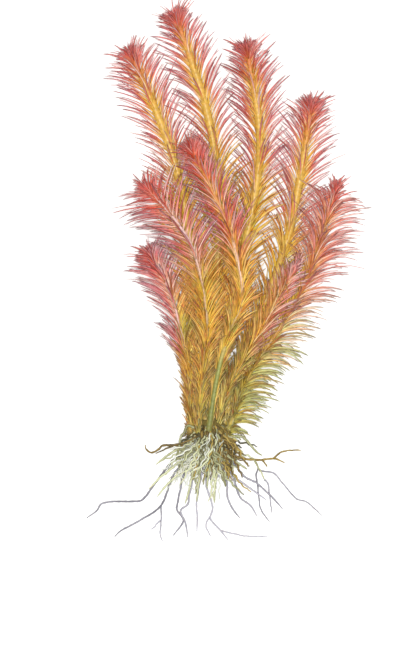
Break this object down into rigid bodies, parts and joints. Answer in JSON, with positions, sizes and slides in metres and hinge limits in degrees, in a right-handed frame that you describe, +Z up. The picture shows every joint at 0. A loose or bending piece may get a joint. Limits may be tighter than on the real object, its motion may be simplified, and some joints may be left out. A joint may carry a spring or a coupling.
{
  "type": "bare-root bunch of rotala",
  "caption": "Bunch of fine-leaved rotala shoots with red growing tips on one root crown, with its bare roots, lying flat.",
  "frame": {"origin": "on the surface that the bunch lies on, under the middle of its box", "axes": "+Y along the bunch from the roots to the growing tips, +X across it to the right as seen from above, +Z up from the surface"},
  "size_m": [0.1267, 0.2418, 0.0376],
  "materials": {
    "leafy_stem": "living leaf and stem, satin: golden stem, coral-pink needle leaves with dark maroon points, olive low down",
    "growing_tip": "young leaf, satin, coral crimson",
    "root_crown": "living root tissue, matt, olive brown",
    "fleshy_root": "living root tissue, satin, olive with pale and yellow-green stretches",
    "fine_root": "living root tissue, satin, grey lilac"
  },
  "bodies": {
    "root": {"leafy_stem_1": "leafy_stem", "leafy_stem_2": "leafy_stem", "leafy_stem_3": "leafy_stem", "leafy_stem_4": "leafy_stem", "leafy_stem_5": "leafy_stem", "leafy_stem_6": "leafy_stem", "leafy_stem_7": "leafy_stem", "leafy_stem_8": "leafy_stem", "leafy_stem_9": "leafy_stem", "growing_tip_1": "growing_tip", "growing_tip_2": "growing_tip", "growing_tip_3": "growing_tip", "growing_tip_4": "growing_tip", "growing_tip_5": "growing_tip", "growing_tip_6": "growing_tip", "growing_tip_7": "growing_tip", "growing_tip_8": "growing_tip", "growing_tip_9": "growing_tip", "root_crown": "root_crown", "fleshy_root_01": "fleshy_root", "fleshy_root_02": "fleshy_root", "fleshy_root_03": "fleshy_root", "fleshy_root_04": "fleshy_root", "fleshy_root_05": "fleshy_root", "fleshy_root_06": "fleshy_root", "fleshy_root_07": "fleshy_root", "fleshy_root_08": "fleshy_root", "fleshy_root_09": "fleshy_root", "fleshy_root_10": "fleshy_root", "fleshy_root_11": "fleshy_root", "fleshy_root_12": "fleshy_root", "fleshy_root_13": "fleshy_root", "fleshy_root_14": "fleshy_root", "fleshy_root_15": "fleshy_root", "fleshy_root_16": "fleshy_root", "fleshy_root_17": "fleshy_root", "fleshy_root_18": "fleshy_root", "fine_root_01": "fine_root", "fine_root_02": "fine_root", "fine_root_03": "fine_root", "fine_root_04": "fine_root", "fine_root_05": "fine_root", "fine_root_06": "fine_root", "fine_root_07": "fine_root", "fine_root_08": "fine_root", "fine_root_09": "fine_root", "fine_root_10": "fine_root", "fine_root_11": "fine_root", "fine_root_12": "fine_root", "fine_root_13": "fine_root", "fine_root_14": "fine_root", "fine_root_15": "fine_root", "fine_root_16": "fine_root", "fine_root_17": "fine_root"}
  },
  "joints": []
}
